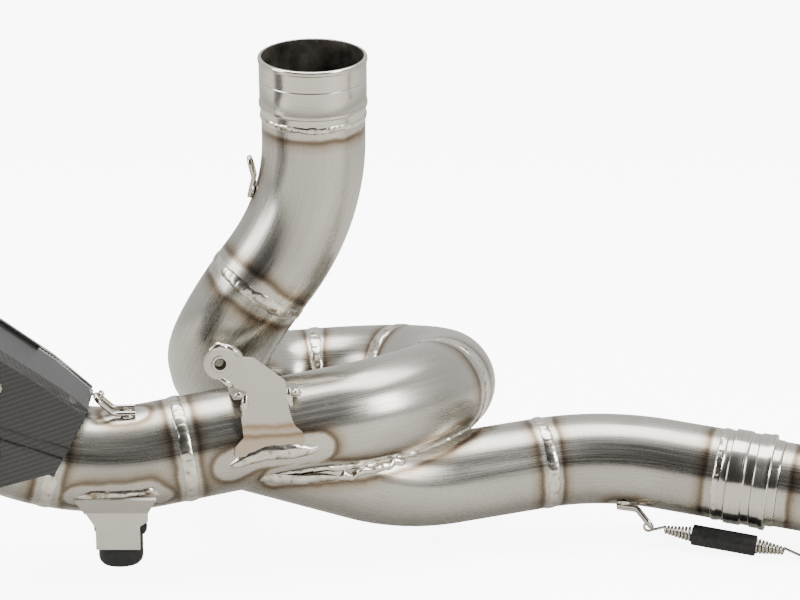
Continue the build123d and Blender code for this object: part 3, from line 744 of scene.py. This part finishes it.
flange_steel = simple_metal("stainless_laser_cut_plate", "#c4bfb5", 0.30)
copper = simple_metal("copper_crush_ring", "#b87a55", 0.34)
dress(["port_flange", "header_flare"], flange_steel, 0.5)
dress(["port_gasket"], copper)

# --- Spring hooks ------------------------------------------------------------------------------------
# Each is a staple bent from 3 mm wire, its two feet fused to the tube by a nugget of weld each.
wire_steel = simple_metal("stainless_wire_drawn", "#c9c3b8", 0.18, scale=500.0)
dress(
    [
        "rear_hook_left",
        "rear_hook_back",
        "front_hook_low",
        "front_hook_back",
        "header_hook_low",
        "header_hook_back",
        "outlet_hook_top",
        "outlet_hook_low",
        "silencer_hook_top",
        "silencer_hook_low",
    ],
    wire_steel,
)


# Where a hook's feet lie, back from its bend, and half their spacing
FOOT_REACH = (-14.5, -6.0)
FOOT_APART = 3.6


def hook_nuggets(name, line, along, towards, radius, forward, body="pipes", seed=0):
    """Two nuggets of weld over the feet of a hook on a tube."""
    place, way, _, _ = line.sample(along)
    out = square_to(way, towards)
    side = np.cross(way, out)
    for sign in (-1, 1):
        points = []
        for step in np.linspace(*FOOT_REACH, 6):
            base = line.sample(along + forward * step)
            around = square_to(base[1], out)
            points.append(base[0] + around * (radius + 0.7) + side * sign * FOOT_APART)
        foot = "a" if sign < 0 else "b"
        weld_run(f"{name}_{foot}", points, [out] * 6, 2.7, 2.9, 5.0, seed + sign, body=body, sink=0.7)


hook_nuggets("rear_hook_left_weld", rear_line, 80, (-1, 0, 0), REAR_R, -1, seed=61)
hook_nuggets("rear_hook_back_weld", rear_line, 80, (0.6, 0.8, 0), REAR_R, -1, seed=64)
hook_nuggets("outlet_hook_top_weld", rear_line, 737, TOP_SIDE, REAR_R, 1, seed=67)
hook_nuggets("outlet_hook_low_weld", rear_line, 737, (0, 0.95, -0.3), REAR_R, 1, seed=70)
hook_nuggets("front_hook_low_weld", front_line, 256, LOW_SIDE, FRONT_R, 1, seed=73)
hook_nuggets("front_hook_back_weld", front_line, 256, BACK_SIDE, FRONT_R, 1, seed=76)
hook_nuggets("header_hook_low_weld", header_line, 33, LOW_SIDE, HEADER_R, -1, "header", seed=79)
hook_nuggets("header_hook_back_weld", header_line, 33, BACK_SIDE, HEADER_R, -1, "header", seed=82)

# --- Springs and their sleeves -----------------------------------------------------------------------
# Close-coiled tension springs of 1.7 mm wire, tapered at both ends into a long hook. A black rubber
# sleeve over the middle of each front spring keeps it from singing.
SPRING_WIRE = 0.85
COIL_PITCH = 2.05
COIL_STEPS = 14
COIL_R = 4.6
COIL_END_R = 1.7
TAPER_SHARE = 0.21
spring_steel = simple_metal("spring_wire_bright", "#bdb8ae", 0.2, scale=400.0)


def wire(name, points, radius, material, sides=10):
    """A round wire through points, in mm, with closed ends."""
    points = np.asarray(points, float)
    ways = np.gradient(points, axis=0)
    ways = ways / np.linalg.norm(ways, axis=1)[:, None]
    out = square_to(ways[0], (0.31, 0.52, 0.79))
    vertices = []
    for point, way in zip(points, ways):
        out = square_to(way, out)
        side = np.cross(way, out)
        for j in range(sides):
            turn = 2 * math.pi * j / sides
            vertices.append(point + (out * math.cos(turn) + side * math.sin(turn)) * radius)
    faces = grid_faces(len(points), sides)
    faces += [tuple(range(sides))[::-1], tuple((len(points) - 1) * sides + j for j in range(sides))]
    return add_object(name, vertices, faces, None, material)


def coil_spring(name, coil_from, coil_to, bar_from, bar_to, node_name, child):
    """A tapered close-coiled spring with a hooked arm at each end, stretched across a joint."""
    way = (coil_to - coil_from) / np.linalg.norm(coil_to - coil_from)
    length = np.linalg.norm(coil_to - coil_from)
    out = square_to(way, (0, 0, 1))
    side = np.cross(way, out)
    turns = int(length / COIL_PITCH)
    points = hook_end(bar_from, coil_from, out)[::-1]
    for i in range(turns * COIL_STEPS + 1):
        share = i / (turns * COIL_STEPS)
        place = share * length
        taper = min(place, length - place) / (TAPER_SHARE * length)
        radius = COIL_END_R + (COIL_R - SPRING_WIRE - COIL_END_R) * min(1.0, taper)
        turn = 2 * math.pi * i / COIL_STEPS
        points.append(coil_from + way * place + (out * math.cos(turn) + side * math.sin(turn)) * radius)
    points += hook_end(bar_to, coil_to, out)
    made = wire(name, points, SPRING_WIRE, spring_steel)
    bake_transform(made)
    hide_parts(node_name)
    return made


EYE_R = 2.5


def hook_end(bar, base, out):
    """The arm from a coil's end to the bar of a staple, ending in an open eye round the bar."""
    arm = bar - base
    along = arm / np.linalg.norm(arm)
    lift = square_to(along, out)
    near_bar = 1 - 0.75 * EYE_R / np.linalg.norm(arm)
    points = []
    for share in np.linspace(0.04, 0.93, 8):
        rise = COIL_END_R - (COIL_END_R + EYE_R * 0.72) * share
        points.append(base + arm * share * near_bar + lift * rise)
    for turn in np.linspace(-2.3, 2.3, 14):
        points.append(bar + (along * math.cos(turn) + lift * math.sin(turn)) * EYE_R)
    return points


SPRING_OFF = 39.0
FRONT_COIL = (46, 117)
SLEEVE_LENGTH = 38
FRONT_BAR_AT = 265
FRONT_BAR_OFF = 39.15
HEADER_BAR_AT = 24
HEADER_BAR_OFF = 39.05


def bar_place(line, along, towards, radius):
    """The middle of a staple's bar, standing off a tube."""
    place, way, _, _ = line.sample(along)
    return place + square_to(way, towards) * radius


sleeve_rubber, sleeve_tree, sleeve_shader = new_material("black_rubber_sleeve", Specular_IOR_Level=0.25)
sleeve_place = node(sleeve_tree, "ShaderNodeTexCoord").outputs["Object"]
sleeve_noise = noise(sleeve_tree, sleeve_place, 260.0, 4.0)
feed(sleeve_shader, Base_Color=ramp(sleeve_tree, sleeve_noise, [(0.3, "#121212"), (0.7, "#1d1c1b")]))
feed(sleeve_shader, Roughness=ramp(sleeve_tree, sleeve_noise, [(0.3, 0.34), (0.7, 0.5)]))
for side_name, towards in (("low", LOW_SIDE), ("back", BACK_SIDE)):
    out = square_to(FRONT_WAY, towards)
    at = [FRONT_LAST + FRONT_WAY * s + out * SPRING_OFF for s in FRONT_COIL]
    at += [bar_place(front_line, FRONT_BAR_AT, towards, FRONT_BAR_OFF)]
    at += [bar_place(header_line, HEADER_BAR_AT, towards, HEADER_BAR_OFF)]
    coil_spring(f"front_spring_{side_name}_coils", *at, f"front_spring_{side_name}", "header")
    turned(
        f"spring_sleeve_{side_name}_moulded",
        at[0] + FRONT_WAY * (np.ptp(FRONT_COIL) - SLEEVE_LENGTH) / 2,
        FRONT_WAY,
        [(4.7, 0), (5.6, 0), (6.0, 0.3), (6.2, 0.9), (6.2, 37.1), (6.0, 37.7), (5.6, 38), (4.7, 38)],
        [sleeve_rubber],
        "pipes",
        [f"spring_sleeve_{side_name}"],
        ring=48,
    )

# --- Frame bracket ------------------------------------------------------------------------------------
# A 2 mm folded plate that carries the M8 insert for the frame's lug. The eye disc is let into the plate
# and tacked, and the foot is run along the collector with a wide bead.
plate_steel, plate_tree, plate_shader = new_material("stainless_sheet_satin", Metallic=1.0)
plate_place = node(plate_tree, "ShaderNodeTexCoord").outputs["Object"]
plate_grain = noise(plate_tree, plate_place, 120.0, 5.0)
plate_split = node(plate_tree, "ShaderNodeSeparateXYZ", {0: plate_place})
PLATE_FOOT = -222 * MM
PLATE_TINTED = 66 * MM
PLATE_WANDER = 4 * MM
plate_wave = math_node(plate_tree, "SUBTRACT", plate_grain, 0.5)
plate_wave = math_node(plate_tree, "MULTIPLY", plate_wave, PLATE_WANDER)
plate_height = math_node(plate_tree, "ADD", plate_split.outputs["Z"], plate_wave)
plate_rise = math_node(plate_tree, "SUBTRACT", plate_height, PLATE_FOOT)
plate_share = math_node(plate_tree, "DIVIDE", plate_rise, PLATE_TINTED)
plate_tint = ramp(
    plate_tree,
    plate_share,
    [
        (0.0, "#b9ac98"),
        (0.17, "#b7a994"),
        (0.215, "#8a7259"),
        (0.25, "#bcb0a0"),
        (0.30, "#9d8468"),
        (0.34, "#c3beb4"),
        (1.0, "#cac6bd"),
    ],
)
feed(plate_shader, Base_Color=plate_tint)
feed(plate_shader, Roughness=ramp(plate_tree, plate_grain, [(0.3, 0.33), (0.7, 0.45)]))
dress(["frame_bracket", "bracket_gusset"], plate_steel, 0.35)
dress(["bracket_eye"], plate_steel, 0.4)
foot_pools = [(-45.5, -61.4, -226), (-40, -61, -223.5), (-34, -60, -220), (-26, -58.6, -217.6)]
foot_pools += [(-17, -56.6, -217.5), (-8, -54.6, -217.8), (-1, -53, -218.6), (3.5, -51.4, -218)]
weld_on("bracket_foot_weld", foot_pools, rear_line, 5.2, 4.2, 15.0, 90, wander=0.5, sink=1.0)
for index, spots in enumerate(
    (
        ((-35, 57), (-30, 59.5), (-24, 58), (-17, 53.5)),
        ((-30, 41.5), (-26, 39), (-22, 35.5)),
        ((-15.5, 31), (-15.8, 25), (-16.6, 20)),
        ((9.5, 34), (9.3, 28), (10.4, 23)),
        ((10.5, 30.4), (13.5, 30.9), (16.2, 30.2)),
        ((-16.5, 30.2), (-19.5, 30.9), (-22.0, 30.4)),
    )
):
    weld_run(
        f"bracket_tack_{index}",
        [on_bracket(x, z, 32.2) for x, z in spots],
        [BRACKET_OUT] * len(spots),
        width=2.3,
        height=2.2,
        pitch=5.0,
        seed=100 + index,
        wander=0.3,
        sink=0.5,
    )

thread_steel, _, thread_shader = new_material("threaded_insert_heat_browned", Metallic=0.8, Roughness=0.5)
thread_shader.inputs["Base Color"].default_value = linear("#3b2c20")
EYE_AT = (-29.5, 49.5)
THREAD_R = 3.25
THREAD_PITCH = 1.2
THREAD_STEPS = 20
thread = []
for step in range(6 * THREAD_STEPS + 1):
    turn = 2 * math.pi * step / THREAD_STEPS
    across, up = EYE_AT[0] + THREAD_R * math.cos(turn), EYE_AT[1] + THREAD_R * math.sin(turn)
    thread.append(on_bracket(across, up, 25.8 + THREAD_PITCH * step / THREAD_STEPS))
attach(wire("bracket_insert_thread", thread, 0.55, thread_steel, sides=8), "pipes")

# --- Stand stop ----------------------------------------------------------------------------------------
# A folded plate under the outlet with an upright rubber buffer bonded behind it, held by a cross pin,
# which the raised stand rests on. The upper flange is welded along the pipe.
stop_steel = simple_metal("stainless_sheet_folded", "#cbc7be", 0.36, scale=150.0)
buffer_rubber = sleeve_rubber.copy()
buffer_rubber.name = "black_rubber_buffer"
dress(["stand_stop_bracket"], stop_steel, 0.4)
dress(["stop_rubber", "stop_pin"], buffer_rubber)
stop_pools = [(-131, -74, -239.4), (-123.5, -73.8, -239), (-115.3, -73, -238.7), (-107, -71.5, -239.2)]
stop_pools += [(-98.9, -69.7, -239), (-90.6, -68.4, -237.5), (-85.5, -64.5, -241.5)]
weld_on("stop_flange_weld", stop_pools, rear_line, 3.6, 2.6, 9.0, 110, wander=0.8, sink=0.8)

# --- Silencer --------------------------------------------------------------------------------------------
# Two moulded shells of 2 by 2 twill carbon under a gloss coat, riveted along a seam band, round a
# perforated core packed with glass fibre. Two steel plates close the chamber.
SILENCER_WAY = np.array((-0.88, -0.07, 0.47)) / np.linalg.norm((-0.88, -0.07, 0.47))
SILENCER_ACROSS = np.cross((0, 0, 1), SILENCER_WAY) / np.linalg.norm(np.cross((0, 0, 1), SILENCER_WAY))
SILENCER_UP = np.cross(SILENCER_WAY, SILENCER_ACROSS)
SILENCER_AT = np.array((-139.0, -51.0, -231.0))
TOW = 0.95 * MM


def in_silencer(side, height, along):
    """A point given across, up and along the silencer."""
    return SILENCER_AT + SILENCER_ACROSS * side + SILENCER_UP * height + SILENCER_WAY * along


def twill(name, lit_warp, shaded_weft):
    """Carbon twill under a clear coat, laid out along the silencer. The warp tows carry a painted sheen,
    lighter than the weft, and every tow carries painted shade towards its edges.
    """
    made, tree, shader = new_material(name, Coat_Weight=0.45, Coat_Roughness=0.06, Metallic=0.0)
    place = node(tree, "ShaderNodeTexCoord").outputs["Object"]
    normal = node(tree, "ShaderNodeNewGeometry").outputs["Normal"]

    def dot(vector, direction):
        pair = {0: vector, 1: tuple(direction)}
        return node(tree, "ShaderNodeVectorMath", pair, operation="DOT_PRODUCT").outputs["Value"]

    flat = math_node(tree, "GREATER_THAN", math_node(tree, "ABSOLUTE", dot(normal, SILENCER_UP)), 0.8)
    u = math_node(tree, "DIVIDE", dot(place, SILENCER_WAY), TOW)
    rising = math_node(tree, "MULTIPLY", dot(place, SILENCER_UP), math_node(tree, "SUBTRACT", 1.0, flat))
    crossing = math_node(tree, "MULTIPLY", dot(place, SILENCER_ACROSS), flat)
    v = math_node(tree, "DIVIDE", math_node(tree, "ADD", rising, crossing), TOW)
    cell = math_node(tree, "ADD", math_node(tree, "FLOOR", u), math_node(tree, "FLOOR", v))
    over = math_node(tree, "LESS_THAN", math_node(tree, "FLOORED_MODULO", cell, 4.0), 1.5)
    across_u = math_node(tree, "ABSOLUTE", math_node(tree, "SUBTRACT", math_node(tree, "FRACT", u), 0.5))
    across_v = math_node(tree, "ABSOLUTE", math_node(tree, "SUBTRACT", math_node(tree, "FRACT", v), 0.5))
    warp_round = math_node(tree, "MULTIPLY", math_node(tree, "SUBTRACT", 0.5, across_v), over)
    under = math_node(tree, "SUBTRACT", 1.0, over)
    weft_round = math_node(tree, "MULTIPLY", math_node(tree, "SUBTRACT", 0.5, across_u), under)
    rounded = math_node(tree, "ADD", warp_round, weft_round)
    # Painted sheen: tows on top take the lighter warp colour and the others the darker weft colour,
    # standing in for how light falls along each run of fibre.
    weave_painted_sheen = mix(tree, over, linear(shaded_weft), linear(lit_warp))
    # Painted shade: each tow darkens towards its edges, standing in for light falling off across its
    # rounded width.
    gap = ramp(tree, rounded, [(0.05, 0.8), (0.35, 0.0)])
    feed(shader, Base_Color=mix(tree, gap, weave_painted_sheen, linear("#0d0d0c")))
    shader.inputs["Roughness"].default_value = 0.34
    shader.inputs["Specular IOR Level"].default_value = 0.35
    rise = node(tree, "ShaderNodeBump", {"Height": rounded, "Strength": 0.5, "Distance": 0.3 * MM})
    feed(shader, Normal=rise.outputs[0])
    return made


# Painted sheen: the lighter colour goes to the warp tows and the darker one to the weft.
carbon = twill("carbon_twill_gloss", "#262523", "#121211")
dress(["silencer_upper_shell", "silencer_lower_shell"], carbon, 0.7, 3)
dress(["end_cap", "silencer_guard"], carbon, 0.5)
rivet_steel = simple_metal("rivet_domed_steel", "#a9a49a", 0.25)
dress(["silencer_rivets"], rivet_steel, 0.3)
dress(["hanger_strap", "front_plate", "rear_plate"], stop_steel, 0.3)
dress(["tail_ring", "perforated_core"], flange_steel)
glass_wool, _, wool_shader = new_material("glass_fibre_packing", Roughness=0.9)
wool_shader.inputs["Base Color"].default_value = linear("#cfc9b4")
dress(["packing_wool"], glass_wool)
OUTLET_BAR_AT = 746
OUTLET_BAR_OFF = 42.15
for name, coil_ends, hook_side, far_bar in (
    ("silencer_spring_top", ((-12, 46.8, 20), (-12, 53.4, 72)), TOP_SIDE, (-12, 65.2, 89)),
    ("silencer_spring_low", ((-44.5, 0, 14), (-47.5, 0, 76)), (0, 0.95, -0.3), (-49.4, 0, 89)),
):
    bars = [bar_place(rear_line, OUTLET_BAR_AT, hook_side, OUTLET_BAR_OFF), in_silencer(*far_bar)]
    coil_spring(f"{name}_coils", *[in_silencer(*p) for p in coil_ends], *bars, name, "silencer")

# Painted shade: thin near-black lines along both edges of the seam band stand in for the shade in the gaps
# beside it. Spots are (half width, height, place along).
SEAM_BAND = 7.0
SEAM_SPOTS = [(36, 22, 8), (38.5, 18.5, 35), (40.5, 14, 70), (47, 6, 140)]
# Painted shade: a near-black material for the gap lines beside the seam band.
seam_shade, _, seam_shade_shader = new_material("seam_resin_dark", Roughness=0.3)
seam_shade_shader.inputs["Base Color"].default_value = linear("#070707")
for edge, drop in (("upper", 0.0), ("lower", SEAM_BAND)):
    seam_points = [in_silencer(width, height - drop, place) for width, height, place in SEAM_SPOTS]
    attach(wire(f"seam_resin_{edge}", seam_points, 0.4, seam_shade), "silencer")

# --- Floor, light and camera ----------------------------------------------------------------------------
# A pale seamless floor under soft studio light, seen from the front and a little above.
BACKDROP_GLOW = 7.0
floor_low = cad_low.z - 0.6 * MM
bpy.ops.mesh.primitive_plane_add(size=14, location=(0, 2.0, floor_low))
floor = bpy.context.object
floor.name = "studio_floor"
floor_paint, floor_tree, floor_shader = new_material("studio_paper_white", Roughness=0.6)
floor_light = node(floor_tree, "ShaderNodeLightPath").outputs
floor_tint = mix(floor_tree, floor_light["Is Glossy Ray"], linear("#fbfbf9"), linear("#b4b2ad"))
feed(floor_shader, Base_Color=floor_tint)
floor_glow = math_node(floor_tree, "MULTIPLY", floor_light["Is Camera Ray"], BACKDROP_GLOW)
feed(floor_shader, Emission_Strength=floor_glow)
floor_shader.inputs["Emission Color"].default_value = linear("#ffffff")
floor.data.materials.append(floor_paint)


def softbox(name, location, target, size, power):
    """A rectangular soft light aimed at a point."""
    light = bpy.data.lights.new(name, "AREA")
    light.shape = "RECTANGLE"
    light.size, light.size_y = size
    light.energy = power
    made = bpy.data.objects.new(name, light)
    made.location = location
    made.rotation_euler = (Vector(target) - Vector(location)).to_track_quat("-Z", "Y").to_euler()
    bpy.context.scene.collection.objects.link(made)


softbox("softbox_overhead", (0.1, 0.2, 1.5), (0.05, 0, -0.2), (1.8, 1.0), 44)
softbox("softbox_left", (-1.5, -0.5, 0.5), (0, 0, -0.15), (0.8, 1.2), 26)
softbox("softbox_right", (1.2, -1.0, 0.6), (0.05, 0, -0.15), (0.5, 1.0), 24)

world = bpy.data.worlds.new("studio")
bpy.context.scene.world = world
world.use_nodes = True
world_tree = world.node_tree
world_tree.nodes.clear()
world_way = node(world_tree, "ShaderNodeTexCoord").outputs["Generated"]
DARK_SIDE = (-0.25, -0.93, 0.26)
facing = node(world_tree, "ShaderNodeVectorMath", {0: world_way, 1: DARK_SIDE}, operation="DOT_PRODUCT")
room = ramp(world_tree, facing.outputs["Value"], [(0.0, 0.90), (0.42, 0.62), (0.70, 0.09), (1.0, 0.02)])
world_light = node(world_tree, "ShaderNodeLightPath").outputs
mirrored = world_light["Is Glossy Ray"]
seen = mix(world_tree, mirrored, linear("#ffffff"), room)
ROOM_LIGHT = 1.75
ROOM_DIMMED_IN_METAL = 0.65
dimmed = math_node(world_tree, "MULTIPLY", mirrored, ROOM_DIMMED_IN_METAL)
strength = math_node(world_tree, "SUBTRACT", ROOM_LIGHT, dimmed)
backdrop_glow = math_node(world_tree, "MULTIPLY", world_light["Is Camera Ray"], BACKDROP_GLOW)
strength = math_node(world_tree, "ADD", strength, backdrop_glow)
backing = node(world_tree, "ShaderNodeBackground", {"Color": seen, "Strength": strength})
node(world_tree, "ShaderNodeOutputWorld", {"Surface": backing.outputs[0]})

LOOK_DOWN = 12
camera_data = bpy.data.cameras.new("camera")
camera_data.lens = 108
camera_data.sensor_width = 36
camera = bpy.data.objects.new("camera", camera_data)
camera.location = (0.0498, -1.3641, 0.1475)
camera.rotation_euler = (math.radians(90 - LOOK_DOWN), 0, 0)
camera_data.clip_end = 50
bpy.context.scene.collection.objects.link(camera)
bpy.context.scene.camera = camera
